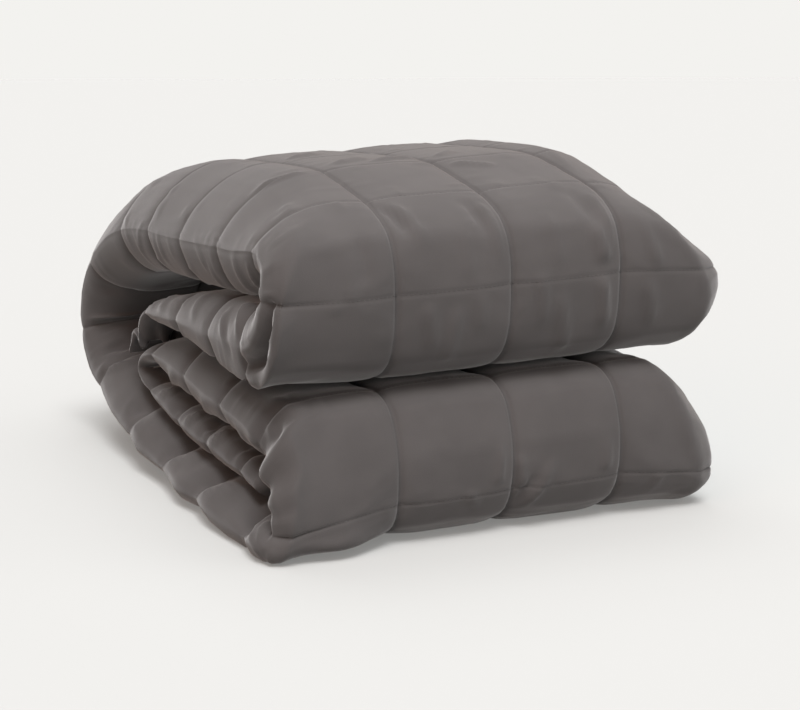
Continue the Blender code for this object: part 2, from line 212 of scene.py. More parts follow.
# The foot of the lower front fold bulges forward in its first square, in squares.
FOOT_PLACE = (0.52, 12.58)   # across and by seam number
FOOT_REACH = (0.36, 0.32)    # how far the bulge is felt in the two directions
FOOT_FORWARD = 0.22

# Quilting stitches, in metres, and the parts of the seams that carry them.
STITCH_PITCH = 0.0035
STITCH_LENGTH = 0.0027
THREAD_RADIUS = 0.00028
STITCH_SIDES = 6
SHOWN_SEAMS = ((-1, 8), (12, 14))      # crosswise seams stitched over the whole outer face
STITCHES_END = 3.97      # where those end at the right edge, squares from the left one
EDGE_STITCHES = 0.7      # and how far round the left edge all of them are, squares
SHOWN_RUNS = ((-1.2, 8.6), (11.9, 14.6))   # runs of the lengthwise seams

# Cloth simulation: the filling presses the cloth out between its stitched seams.
FILL_FRAMES = 8
FILL_PRESSURE = 60.0
CUT_WIDER = 1.02         # the cloth is cut that much wider than its seams
FILL_MASS = 0.05         # of one mesh point, kilograms
FILL_BENDING = 1.0
FILL_SHEAR = 5.0
FILL_QUALITY = 5         # steps of the simulation to a frame
FILL_SHARE = 0.18        # share of the simulated movement that is kept
FILL_CAP = 0.07          # and the most that a point may move, squares
SHOWN_ROWS = ((-1.8, 8.4), (11.8, 15.2))   # seam numbers between which the outer face shows
ROW_FADE = 0.5           # length over which the movement dies out beyond them, squares
LEFT_SHARE = 0.6         # how freely the left end moves, where all layers show
LEFT_FADE = 0.3          # and over what width that dies out, squares
HELD_SHARE = 0.02        # points that would move less than this share are held

# The fold of the slab, close to the solid's: seam number along the cloth, place of the slab's
# left edge, reach to the outer and the inner side, depth of the quilting. In squares.
FOLD_COLUMNS = ("section", "seam", "y", "z", "outer", "inner", "depth")
FOLD = (
    ("flap_end",   -4.85, 3.86, 1.02, 0.05, 0.05, 0.01),
    ("flap",       -4.66, 3.88, 1.18, 0.07, 0.07, 0.02),
    ("flap",       -4.40, 3.78, 1.34, 0.09, 0.09, 0.03),
    ("flap",       -4.05, 3.48, 1.45, 0.09, 0.11, 0.03),
    ("flap",       -3.55, 3.00, 1.50, 0.11, 0.17, 0.05),
    ("flap",       -3.00, 2.46, 1.53, 0.15, 0.24, 0.06),
    ("flap",       -2.50, 1.98, 1.54, 0.20, 0.30, 0.07),
    ("upper_fold", -2.00, 1.54, 1.53, 0.24, 0.32, 0.07),
    ("upper_fold", -1.50, 1.12, 1.53, 0.28, 0.32, 0.06),
    ("upper_fold", -1.00, 0.70, 1.52, 0.31, 0.33, 0.05),
    ("upper_fold", -0.46, 0.33, 1.67, 0.365, 0.28, 0.06),
    ("upper_fold", -0.20, 0.23, 1.83, 0.29, 0.26, 0.07),
    ("upper_fold",  0.00, 0.20, 1.97, 0.25, 0.25, 0.07),
    ("upper_fold",  0.45, 0.27, 2.22, 0.27, 0.26, 0.07),
    ("upper_fold",  1.00, 0.62, 2.33, 0.33, 0.32, 0.05),
    ("top",         1.50, 1.03, 2.32, 0.45, 0.41, 0.06),
    ("top",         2.00, 1.48, 2.32, 0.53, 0.43, 0.06),
    ("top",         3.00, 2.42, 2.30, 0.57, 0.44, 0.06),
    ("top",         4.00, 3.28, 2.28, 0.58, 0.45, 0.06),
    ("top",         4.90, 3.98, 2.21, 0.55, 0.46, 0.06),
    ("spine",       5.52, 4.58, 2.03, 0.51, 0.46, 0.06),
    ("spine",       6.04, 5.04, 1.73, 0.43, 0.42, 0.06),
    ("spine",       6.52, 5.28, 1.40, 0.33, 0.40, 0.06),
    ("spine",       6.96, 5.31, 1.08, 0.29, 0.38, 0.06),
    ("spine",       7.42, 5.13, 0.78, 0.28, 0.36, 0.06),
    ("spine",       7.92, 4.78, 0.59, 0.27, 0.34, 0.06),
    ("bottom",      8.38, 4.24, 0.46, 0.27, 0.33, 0.06),
    ("bottom",      8.90, 3.60, 0.35, 0.27, 0.30, 0.05),
    ("bottom",      9.46, 3.00, 0.26, 0.25, 0.25, 0.05),
    ("bottom",     10.18, 2.30, 0.20, 0.22, 0.22, 0.05),
    ("bottom",     11.00, 1.50, 0.17, 0.21, 0.22, 0.05),
    ("lower_fold", 11.58, 0.94, 0.17, 0.22, 0.20, 0.06),
    ("lower_fold", 12.00, 0.54, 0.17, 0.23, 0.19, 0.07),
    ("lower_fold", 12.52, 0.22, 0.24, 0.21, 0.16, 0.08),
    ("lower_fold", 13.00, 0.11, 0.37, 0.20, 0.15, 0.07),
    ("lower_fold", 13.50, 0.18, 0.65, 0.315, 0.19, 0.07),
    ("lower_fold", 13.75, 0.32, 0.78, 0.41, 0.22, 0.07),
    ("lower_fold", 14.00, 0.50, 0.88, 0.35, 0.25, 0.055),
    ("lower_fold", 14.25, 0.71, 0.93, 0.26, 0.25, 0.055),
    ("inner",      14.56, 0.98, 0.95, 0.25, 0.24, 0.065),
    ("inner",      15.30, 1.65, 0.99, 0.28, 0.26, 0.11),
    ("inner",      16.05, 2.40, 1.05, 0.29, 0.26, 0.11),
    ("inner",      16.62, 2.96, 1.09, 0.21, 0.21, 0.08),
    ("back_fold",  17.05, 3.38, 1.07, 0.13, 0.11, 0.04),
    ("back_fold",  17.42, 3.68, 0.98, 0.11, 0.07, 0.03),
    ("back_fold",  17.66, 3.74, 0.86, 0.11, 0.06, 0.03),
    ("back_fold",  18.00, 3.42, 0.73, 0.13, 0.10, 0.03),
    ("tuck",       18.42, 3.04, 0.68, 0.16, 0.15, 0.04),
    ("tuck",       19.05, 2.50, 0.61, 0.17, 0.17, 0.05),
    ("tuck",       20.00, 1.80, 0.56, 0.16, 0.17, 0.05),
    ("tuck",       21.00, 1.00, 0.50, 0.12, 0.16, 0.04),
    ("tuck_end",   21.50, 0.60, 0.45, 0.08, 0.10, 0.02),
)

# The two ends of the slab, close to the solid's: reach on the left, width of its two rounded
# corners there, slump of that end, reach on the right, width and bluntness of the thinning
# there on either half, and droop of that edge.
END_COLUMNS = ("section", "seam", "left", "round_outer", "round_inner", "slump", "spread",
               "right", "thin_outer", "blunt_outer", "thin_inner", "blunt_inner", "droop",
               "droop_width")
ENDS = (
    ("flap_end",    -4.85,  0.00, 0.10, 0.10,  0.00, 0.00, 3.90, 0.15, 0.50, 0.60, 0.80,  0.00, 1.0),
    ("flap",        -3.50, -0.01, 0.10, 0.20,  0.00, 0.00, 3.94, 0.16, 0.50, 0.90, 0.80,  0.00, 1.0),
    ("flap",        -2.20, -0.02, 0.10, 0.36,  0.00, 0.00, 3.96, 0.24, 0.50, 1.00, 0.90,  0.00, 1.0),
    ("upper_fold",  -1.00, -0.04, 0.05, 0.22, -0.07, 0.00, 3.95, 0.50, 0.80, 1.00, 0.90,  0.00, 1.0),
    ("upper_fold",  -0.10, -0.07, 0.05, 0.30, -0.02, 0.00, 4.16, 0.16, 0.50, 0.90, 0.90,  0.00, 1.0),
    ("upper_fold",   0.50,  0.02, 0.20, 0.40,  0.00, 0.00, 3.74, 0.52, 1.00, 0.80, 0.90, -0.26, 0.9),
    ("upper_fold",   1.00,  0.05, 0.75, 0.34,  0.03, 0.00, 3.72, 0.40, 0.80, 0.80, 0.90, -0.20, 0.8),
    ("top",          2.00,  0.05, 0.92, 0.26,  0.07, 0.00, 3.96, 0.66, 0.80, 0.80, 0.90, -0.42, 0.8),
    ("top",          3.20,  0.02, 0.92, 0.34,  0.07, 0.00, 4.12, 0.74, 0.78, 0.90, 0.90, -0.42, 0.9),
    ("top",          4.90, -0.03, 0.76, 0.40,  0.03, 0.00, 4.16, 0.72, 0.70, 0.80, 0.80, -0.34, 0.9),
    ("spine",        6.00, -0.11, 0.54, 0.45,  0.00, 0.00, 4.12, 0.66, 0.60, 0.70, 0.65, -0.10, 0.8),
    ("spine",        6.90, -0.14, 0.50, 0.50,  0.00, 0.00, 4.06, 0.60, 0.55, 0.60, 0.55,  0.00, 0.6),
    ("bottom",       8.80, -0.12, 0.40, 0.40,  0.00, 0.00, 4.02, 0.40, 0.50, 0.50, 0.50,  0.00, 0.6),
    ("bottom",      11.20, -0.10, 0.26, 0.36,  0.00, 0.00, 4.00, 0.30, 0.50, 0.40, 0.50,  0.00, 0.6),
    ("lower_fold",  12.30, -0.12, 0.12, 0.28,  0.06, 0.22, 3.97, 0.30, 0.60, 0.40, 0.50,  0.00, 1.0),
    ("lower_fold",  13.00, -0.10, 0.12, 0.34,  0.18, 0.12, 4.01, 0.20, 0.50, 0.40, 0.50, -0.14, 1.0),
    ("lower_fold",  14.10,  0.01, 0.24, 0.34,  0.00, 0.00, 3.84, 0.56, 0.90, 0.45, 0.50,  0.00, 1.0),
    ("inner",       15.40,  0.01, 0.36, 0.24,  0.00, 0.00, 3.88, 0.50, 0.50, 0.50, 0.50,  0.00, 1.0),
    ("back_fold",   17.40,  0.02, 0.20, 0.16,  0.00, 0.00, 3.84, 0.40, 0.50, 0.40, 0.50,  0.00, 1.0),
    ("tuck",        19.20,  0.01, 0.16, 0.24,  0.00, 0.00, 3.84, 0.40, 0.50, 0.40, 0.50,  0.00, 1.0),
    ("tuck_end",    21.50,  0.06, 0.12, 0.12,  0.00, 0.00, 3.76, 0.30, 0.50, 0.30, 0.50,  0.00, 1.0),
)

# Camera, in squares from the front left foot of the block, and in degrees.
CAMERA_PLACE = (-4.027, -10.871, 3.618)
CAMERA_TURN = -24.86
CAMERA_TILT = -10.0
CAMERA_LENS = 72.54      # millimetres
CAMERA_SENSOR = 36.0     # its width, millimetres

FLOOR_REACH = 60.0       # half the side of the pale floor, metres
FLOOR_COLOUR = (0.308, 0.311, 0.307)
FLOOR_GLOW = 0.22        # share of the open floor's brightness that shadows don't take away
BACKDROP_COLOUR = (0.896, 0.888, 0.863)   # what is seen behind the floor's far edge
BACKDROP_HEIGHT = (0.12, 0.20)            # sine of the height over which it gives way
DOME_LIGHT = 0.02        # brightness of the room above that
WARM = (1.0, 0.64, 0.48)
NEUTRAL = (1.0, 1.0, 1.0)

# Soft sources: turn about the vertical, 0 from the front and 90 from the right, and height,
# in degrees; power; width of the source in degrees; colour.
SUNS = {
    "overhead": (0.0, 88.0, 2.0, 70.0, NEUTRAL),
    "front": (-12.0, 60.0, 3.5, 30.0, NEUTRAL),
    "low_front": (0.0, 32.0, 0.35, 40.0, NEUTRAL),
    "right": (60.0, 30.0, 0.65, 50.0, NEUTRAL),
    "left": (-60.0, 30.0, 0.9, 50.0, WARM),
    "behind": (175.0, 60.0, 0.95, 40.0, NEUTRAL),
    "behind_right": (125.0, 45.0, 0.2, 50.0, NEUTRAL),
}

# Colours of the cloth's nap and of the thread, from their darkest to their lightest.
NAP_TONES = ((0.0552, 0.0507, 0.0501), (0.0618, 0.0567, 0.0560))
NAP_PLACES = (0.35, 0.65)    # where in the mottle those two stand
NAP_SHEEN = (1.0, 0.97, 0.965)   # tint of the nap's soft sheen
THREAD_TONES = ((0.030, 0.027, 0.027), (0.052, 0.047, 0.046))


# ---------------------------------------------------------------- the folded slab
def column(table, names, name):
    """One named column of a table, as an array."""
    return np.array([row[names.index(name)] for row in table], float)


def cubic_matrix(knots, at):
    """The matrix that reads a natural cubic spline through the knots at the places in at."""
    count = len(knots)
    gap = np.diff(knots)
    system = np.eye(count)
    loads = np.zeros((count, count))
    for i in range(1, count - 1):
        system[i, i - 1:i + 2] = (gap[i - 1], 2.0 * (gap[i - 1] + gap[i]), gap[i])
        loads[i, i + 1] += 6.0 / gap[i]
        loads[i, i] -= 6.0 / gap[i] + 6.0 / gap[i - 1]
        loads[i, i - 1] += 6.0 / gap[i - 1]
    bend = np.linalg.solve(system, loads)
    i = np.clip(np.searchsorted(knots, at) - 1, 0, count - 2)
    before = (knots[i + 1] - at)[:, None]
    after = (at - knots[i])[:, None]
    span = gap[i][:, None]
    unit = np.eye(count)
    return ((bend[i] * before ** 3 + bend[i + 1] * after ** 3) / (6.0 * span)
            + (unit[i] / span - bend[i] * span / 6.0) * before
            + (unit[i + 1] / span - bend[i + 1] * span / 6.0) * after)


def fold_path(seams):
    """The slab's edge line, outward direction and thicknesses at each seam number."""
    knots = column(FOLD, FOLD_COLUMNS, "seam")
    step = 0.01
    here, ahead, behind = (cubic_matrix(knots, seams + shift) for shift in (0.0, step, -step))
    path = {name: here @ column(FOLD, FOLD_COLUMNS, name) for name in FOLD_COLUMNS[2:]}
    along_y = (ahead - behind) @ column(FOLD, FOLD_COLUMNS, "y")
    along_z = (ahead - behind) @ column(FOLD, FOLD_COLUMNS, "z")
    size = np.hypot(along_y, along_z)
    path["out_y"] = -along_z / size
    path["out_z"] = along_y / size
    return path


def eased(seams, table, names, name, ease):
    """One column of a table by seam number, read between its rows and smoothed."""
    knots = column(table, names, "seam")
    values = column(table, names, name)
    return np.mean([np.interp(seams + shift, knots, values)
                    for shift in np.linspace(-ease, ease, EASE_SAMPLES)], axis=0)


def slab_ends(seams):
    """The end table at each seam number, smoothed over EASE to either side, and its waves."""
    ends = {name: eased(seams, ENDS, END_COLUMNS, name, EASE) for name in END_COLUMNS[2:]}
    ends["left"] = ends["left"] + eased(seams, EDGE_WAVES, WAVE_COLUMNS, "shift", WAVE_EASE)
    return ends


def slab_values(seams):
    """Every table value at each seam number, as columns."""
    values = {"seam": seams, **fold_path(seams), **slab_ends(seams)}
    return {name: value[:, None] for name, value in values.items()}


def left_corner(place, radius, height, width, pointed):
    """A rounded corner and the flat after it: x from the edge, share of height, direction."""
    corner = 0.5 * math.pi * np.sqrt(0.5 * (radius ** 2 + height ** 2))
    run = place * (corner + width - radius)
    angle = 0.5 * math.pi * np.minimum(1.0, run / corner)
    lean_x = np.cos(angle) * height
    lean_n = np.sin(angle) * radius
    size = np.hypot(lean_x, lean_n)
    x = radius * (1.0 - np.cos(angle)) + np.maximum(0.0, run - corner)
    return x, np.sin(angle) ** pointed, -lean_x / size, lean_n / size


def pinch_depth(seams, share):
    """How far the left end is drawn in, by the share of the slab's reach that is left there."""
    depth = np.interp(seams, column(PINCH, PINCH_COLUMNS, "seam"),
                      column(PINCH, PINCH_COLUMNS, "depth"))
    return depth * np.exp(-((share - PINCH_SHARE[0]) / PINCH_SHARE[1]) ** 2)


def slab_face(values, across, name):
    """Stations of one face: x, reach, share of droop and direction, for across in 0 to 4."""
    height = values[name]
    radius = values["round_" + name]
    square = np.minimum(np.floor(across), len(COLUMN_SEAMS)).astype(int)
    place = (across - square)[None, :]
    left, right = values["left"], values["right"]
    pointed = POINTED if name == "outer" else 1.0
    x, share, lean_x, lean_n = left_corner(place, radius, height, COLUMN_SEAMS[0] - left,
                                           pointed)
    x = x + left
    starts = np.array((0.0,) + COLUMN_SEAMS)[square][None, :]
    ends = np.array(COLUMN_SEAMS + (0.0,))[square][None, :]
    first = (square == 0)[None, :]
    last = (square == len(COLUMN_SEAMS))[None, :]
    ends = np.where(last, right, ends)
    x = np.where(first, x, starts + place * (ends - starts))
    toward = np.clip(1.0 - (right - x) / values["thin_" + name], 0.0, 1.0) ** EDGE_POWER
    sink = np.clip(1.0 - (right - x) / values["droop_width"], 0.0, 1.0) ** EDGE_POWER
    if name == "outer":
        x = x + np.where(first, pinch_depth(values["seam"], share), 0.0)
    share = np.where(first, share, np.where(last, (1.0 - toward) ** values["blunt_" + name], 1.0))
    lean_x = np.where(first, lean_x, np.where(last, toward ** 2, 0.0))
    lean_n = np.where(first, lean_n, np.sqrt(1.0 - np.where(last, toward ** 2, 0.0) ** 2))
    return x, height * share, share, np.where(last, sink, 0.0), lean_x, lean_n


def place_points(values, x, reach, sink):
    """Points of the slab from their width, signed reach and share of the droop, in squares."""
    toward_left = np.clip(1.0 - (x - values["left"]) / SLUMP_WIDTH, 0.0, None)
    y = values["y"] + values["out_y"] * reach - values["spread"] * toward_left ** SLUMP_POWER
    y = y - FOOT_FORWARD * np.exp(-((x - FOOT_PLACE[0]) / FOOT_REACH[0]) ** 2
                                 - ((values["seam"] - FOOT_PLACE[1]) / FOOT_REACH[1]) ** 2)
    z = (values["z"] + values["out_z"] * reach + values["droop"] * sink
         - values["slump"] * toward_left ** SLUMP_POWER)
    rise = np.interp(z, RISE_HEIGHTS, RISE)
    return np.stack([x, y, z + rise * (x - COLUMN_SEAMS[0])], axis=-1)


def seam_stations(detail, cluster=END_CLUSTER):
    """Places in one square, from one seam up to the next, gathered towards the seams."""
    even = np.linspace(0.0, 1.0, detail + 1)[:-1]
    return cluster * (0.5 - 0.5 * np.cos(math.pi * even)) + (1.0 - cluster) * even


def row_stations(detail, cluster):
    """Seam numbers of the mesh rows, from one end of the slab to the other."""
    knots = column(FOLD, FOLD_COLUMNS, "seam")
    rows = [square + place
            for (first, count), (after, _) in zip(detail, detail[1:])
            for square in range(int(first), int(after))
            for place in seam_stations(count, cluster)]
    rows = np.array(rows)
    rows = rows[(rows > knots[0] + END_MARGIN) & (rows < knots[-1] - END_MARGIN)]
    return np.concatenate([knots[:1], rows, knots[-1:]])


def ring_stations(outer, inner, cluster):
    """Stations round the slab: up to WIDE on the outer face, and on to LOOP back on the inner."""
    ring = [square + place for square, count in enumerate(outer)
            for place in seam_stations(count, cluster)]
    back = [square + place for square, count in enumerate(inner)
            for place in seam_stations(count, cluster)]
    ring.append(WIDE)
    ring.extend(LOOP - place for place in back[:0:-1])
    return np.array(ring)


def from_left(ring):
    """Squares from the left edge, on either face."""
    return np.where(ring <= WIDE, ring, LOOP - ring)


def across_of(ring):
    """Squares from the left edge: positive on the outer face, negative on the inner one."""
    return np.where(ring <= WIDE, ring, ring - LOOP)


def slab_grid(rows, ring, drawn, swing=0.0):
    """Points of the slab over rows and ring, drawn in and swung aside by that many squares."""
    values = slab_values(rows)
    outer_side = ring <= WIDE
    parts = [slab_face(values, from_left(ring), name) for name in ("outer", "inner")]
    mixed = [np.where(outer_side[None, :], a, b) for a, b in zip(*parts)]
    x, height, share, sink, lean_x, lean_n = mixed
    side = np.where(outer_side, 1.0, -1.0)[None, :]
    drawn = drawn * np.minimum(1.0, THIN_DEPTH + share)
    return place_points(values, x - drawn * lean_x, side * (height - drawn * lean_n) + swing, sink)


def crown(from_seam):
    """Height of a filled square from 0 on its seam to 1 halfway across, by distance in squares."""
    near = 1.0 - np.clip(2.0 * from_seam, 0.0, 1.0)
    return (1.0 - near ** CROWN_POWER) ** CROWN_ROUND


def pillow_drawn(rows, ring, modelled=1.0):
    """How far each point is drawn in by the quilting, with that share of the squares' crown."""
    across = from_left(ring)
    depth = slab_values(rows)["depth"]
    along = crown(np.abs(rows - np.round(rows)))[:, None]
    place = across % 1.0
    to_left = np.where(across < 1.0, 1.0, place)
    to_right = np.where(across >= len(COLUMN_SEAMS), 1.0, 1.0 - place)
    over = crown(np.minimum(to_left, to_right))[None, :]
    square = np.floor(across) + FULL_BACK * (ring > WIDE)
    flat = 0.5 + 0.5 * np.sin(FULL_MIX[0] * np.floor(rows)[:, None] + FULL_MIX[1] * square[None, :])
    full = over * (1.0 - CROSS_SHARE * (1.0 - along)) * (1.0 - FULL_SPREAD * flat)
    notch = (LEFT_NOTCH * np.exp(-(across / NOTCH_REACH) ** 2)
             + RIGHT_NOTCH * np.exp(-((WIDE - across) / NOTCH_REACH) ** 2))[None, :]
    shut = np.abs(2.0 * (rows % 1.0) - 1.0)[:, None] ** NOTCH_POWER
    return depth * (1.0 - modelled * full) + notch * shut


def groove_drawn(rows, ring):
    """The narrow stitched groove along every seam."""
    across = from_left(ring)
    near_row = np.abs(rows - np.round(rows))
    near_column = np.abs(across - np.round(across))
    row_groove = np.exp(-(near_row / SEAM_WIDTH) ** GROOVE_POWER)[:, None]
    column_groove = np.exp(-(near_column / SEAM_WIDTH) ** GROOVE_POWER)[None, :]
    return SEAM_DEPTH * np.maximum(CROSS_GROOVE * row_groove, column_groove)


def add_crease(heights, rows, across, first, last, width, height):
    """Adds one soft ridge or trough between two places, given as (across, seam)."""
    (x0, y0), (x1, y1) = first, last
    reach = CREASE_REACH * width
    low, high = np.searchsorted(rows, (min(y0, y1) - reach, max(y0, y1) + reach))
    x = across[None, :] - x0
    y = rows[low:high, None] - y0
    run_x, run_y = x1 - x0, y1 - y0
    length = math.hypot(run_x, run_y)
    share = (x * run_x + y * run_y) / length ** 2
    aside = (x * run_y - y * run_x) / length
    ends = (np.clip(share / CREASE_FADE, 0.0, 1.0)
            * np.clip((1.0 - share) / CREASE_FADE, 0.0, 1.0))
    ends = ends * ends * (3.0 - 2.0 * ends)
    heights[low:high] += height * ends * np.exp(-(aside / width) ** 2)


def add_puckers(heights, rows, across):
    """Short ridges across every shown seam, at random places from a fixed seed."""
    dice = np.random.default_rng(PUCKER_SEED)
    for seam in range(math.ceil(rows[0]), math.ceil(rows[-1])):
        for square in range(-1, 4):
            for _ in range(PUCKERS):
                place, other = dice.uniform(*PUCKER_PLACE, 2)
                side, turn = dice.choice((-1.0, 1.0), 2)
                along, over = dice.uniform(*PUCKER_LENGTH, 2)
                wide = dice.uniform(*PUCKER_WIDTH)
                high = dice.uniform(*PUCKER_HEIGHT)
                lean = dice.uniform(-PUCKER_LEAN, PUCKER_LEAN)
                if square < 1:
                    high *= 1.0 + (EDGE_PUCKER - 1.0) * (1.0 - place if square == 0 else place)
                x, y = square + place, seam + other
                add_crease(heights, rows, across,
                           (x - PUCKER_DRIFT * lean * side, seam - PUCKER_BACK * side),
                           (x + lean * along, seam + side * along), wide, high)
                add_crease(heights, rows, across, (square - PUCKER_BACK * turn, y),
                           (square + turn * over, y + lean * over), wide,
                           LENGTHWISE_PUCKER * high)


def crease_heights(rows, ring):
    """Height of all creases and puckers over the smooth quilting."""
    across = across_of(ring)
    heights = np.zeros((len(rows), len(ring)))
    add_puckers(heights, rows, across)
    for _, x0, y0, x1, y1, width, height in CREASES:
        add_crease(heights, rows, across, (x0, y0), (x1, y1), width, height)
    return heights


def sheet_swing(rows, ring):
    """How far the whole sheet is swung aside by its larger folds."""
    across = across_of(ring)
    swing = np.zeros((len(rows), len(ring)))
    for x0, y0, x1, y1, width, height in SHEET_FOLDS:
        add_crease(swing, rows, np.abs(across), (x0, y0), (x1, y1), width, height)
    return swing


def grid_mesh(name, points):
    """A closed mesh from rings of points, with flat ladders of faces over its two ends."""
    count_rows, count_ring = points.shape[:2]
    index = np.arange(count_rows * count_ring).reshape(count_rows, count_ring)
    after = np.roll(index, -1, axis=1)
    quads = np.stack([index[:-1], index[1:], after[1:], after[:-1]], axis=-1).reshape(-1, 4)
    faces = quads.tolist()
    half = int(np.argmin(np.abs(RING - WIDE)))
    for ring, turned in ((index[0], False), (index[-1], True)):
        faces.extend(cap_faces(ring.tolist(), half, turned))
    mesh = bpy.data.meshes.new(name)
    mesh.from_pydata(points.reshape(-1, 3).tolist(), [], faces)
    mesh.update()
    return mesh


def cap_faces(ring, half, turned):
    """Triangles that close one end ring, zipped between its outer and its inner run."""
    outer = ring[:half + 1]
    inner = [ring[0]] + ring[:half - 1:-1]
    faces = []
    i = j = 0
    while i < len(outer) - 1 or j < len(inner) - 1:
        outer_next = (i + 1) / (len(outer) - 1)
        inner_next = (j + 1) / (len(inner) - 1)
        if i < len(outer) - 1 and outer_next <= inner_next or j >= len(inner) - 1:
            corners = (outer[i], outer[i + 1], inner[j])
            i += 1
        else:
            corners = (outer[i], inner[j + 1], inner[j])
            j += 1
        if len(set(corners)) == 3:
            faces.append(corners[::-1] if turned else corners)
    return faces


ROWS = row_stations(ROW_DETAIL, END_CLUSTER)
RING = ring_stations(OUTER_DETAIL, INNER_DETAIL, END_CLUSTER)


def block_middle():
    """The middle of the block's foot in squares, which is the origin of the frame."""
    points = slab_grid(ROWS, RING, pillow_drawn(ROWS, RING))
    unwaved = points[ROWS < EDGE_WAVES[0][0], :, 0]
    depths = points[..., 1]
    return np.array([0.5 * (unwaved.min() + unwaved.max()), 0.5 * (depths.min() + depths.max()),
                     0.0])


MIDDLE = block_middle()


def to_metres(points):
    """Squares from the block's front left foot to metres in the frame, none below the floor."""
    placed = (points - MIDDLE) * SQUARE
    placed[..., 2] = np.maximum(placed[..., 2], 0.0)
    return placed


# ---------------------------------------------------------------- the filling's pressure
def shown_share():
    """How freely each point may move: 1 on the shown faces, 0 on what lies hidden."""
    outer = np.zeros(len(ROWS))
    for first, last in SHOWN_ROWS:
        inside = np.minimum(ROWS - first, last - ROWS)
        outer = np.maximum(outer, np.clip(inside / ROW_FADE, 0.0, 1.0))
    left = np.clip((1.0 - from_left(RING)) / LEFT_FADE, 0.0, 1.0)[None, :]
    face = np.where(RING <= WIDE, 1.0, 0.0)[None, :]
    return np.maximum(outer[:, None] * face, LEFT_SHARE * left)


def on_seams():
    """Which points lie on a stitched seam, on the slab's edge or at its two ends."""
    across = from_left(RING)
    close = 1e-6
    row_seam = np.abs(ROWS - np.round(ROWS)) < close
    row_seam[[0, -1]] = True
    return row_seam[:, None] | (np.abs(across - np.round(across)) < close)[None, :]


def add_filling(piece, pinned):
    """Blender's cloth with pressure inside, held at its seams and without gravity."""
    group = piece.vertex_groups.new(name="stitched")
    group.add([int(i) for i in np.flatnonzero(pinned)], 1.0, "REPLACE")
    piece.shape_key_add(name="sewn")
    cut = piece.shape_key_add(name="cut")
    points = np.empty(3 * len(piece.data.vertices))
    cut.data.foreach_get("co", points)
    points[0::3] *= CUT_WIDER
    cut.data.foreach_set("co", points)
    cloth = piece.modifiers.new("filling", "CLOTH")
    settings = cloth.settings
    settings.quality = FILL_QUALITY
    settings.mass = FILL_MASS
    settings.bending_stiffness = FILL_BENDING
    settings.shear_stiffness = FILL_SHEAR
    settings.rest_shape_key = cut
    settings.use_pressure = True
    settings.uniform_pressure_force = FILL_PRESSURE
    settings.vertex_group_mass = group.name
    settings.effector_weights.gravity = 0.0
    cloth.collision_settings.use_collision = False
    cloth.collision_settings.use_self_collision = False
    cloth.point_cache.frame_start = 1
    cloth.point_cache.frame_end = FILL_FRAMES


def filled(points):
    """The points after the filling has pressed the cloth out, in metres like the ones given."""
    free = shown_share()
    piece = link(bpy.data.objects.new("filling", grid_mesh("filling", points)))
    add_filling(piece, on_seams() | (free < HELD_SHARE))
    for moment in range(1, FILL_FRAMES + 1):
        bpy.context.scene.frame_set(moment)
        evaluated = piece.evaluated_get(bpy.context.evaluated_depsgraph_get())
    settled = np.empty(points.size)
    evaluated.data.vertices.foreach_get("co", settled)
    mesh = piece.data
    bpy.data.objects.remove(piece)
    bpy.data.meshes.remove(mesh)
    bpy.context.scene.frame_set(1)
    moved = (settled.reshape(points.shape) - points) * free[..., None] * FILL_SHARE
    size = np.linalg.norm(moved, axis=-1, keepdims=True)
    return points + moved * np.minimum(1.0, FILL_CAP * SQUARE / np.maximum(size, 1e-9))


# ---------------------------------------------------------------- materials
def cloth_material():
    """Brushed microfibre: warm dark grey nap with a soft sheen and a faint mottle."""
    material = bpy.data.materials.new("brushed_cover_cloth")
    material.use_nodes = True
    nodes, links = material.node_tree.nodes, material.node_tree.links
    shader = nodes["Principled BSDF"]
    shader.inputs["Roughness"].default_value = 0.88
    shader.inputs["Specular IOR Level"].default_value = 0.25
    shader.inputs["Sheen Weight"].default_value = 0.35
    shader.inputs["Sheen Roughness"].default_value = 0.38
    shader.inputs["Sheen Tint"].default_value = (*NAP_SHEEN, 1.0)
    place = nodes.new("ShaderNodeTexCoord")
    mottle = nodes.new("ShaderNodeTexNoise")
    mottle.inputs["Scale"].default_value = 26.0
    mottle.inputs["Detail"].default_value = 4.0
    tone = nodes.new("ShaderNodeValToRGB")
    for stop, position, colour in zip(tone.color_ramp.elements, NAP_PLACES, NAP_TONES):
        stop.position = position
        stop.color = (*colour, 1.0)
    nap = nodes.new("ShaderNodeTexNoise")
    nap.inputs["Scale"].default_value = 1500.0
    nap.inputs["Detail"].default_value = 3.0
    bump = nodes.new("ShaderNodeBump")
    bump.inputs["Strength"].default_value = 0.25
    bump.inputs["Distance"].default_value = 0.0004
    links.new(place.outputs["Object"], mottle.inputs["Vector"])
    links.new(place.outputs["Object"], nap.inputs["Vector"])
    links.new(mottle.outputs["Fac"], tone.inputs["Fac"])
    links.new(tone.outputs["Color"], shader.inputs["Base Color"])
    links.new(nap.outputs["Fac"], bump.inputs["Height"])
    links.new(bump.outputs["Normal"], shader.inputs["Normal"])
    return material


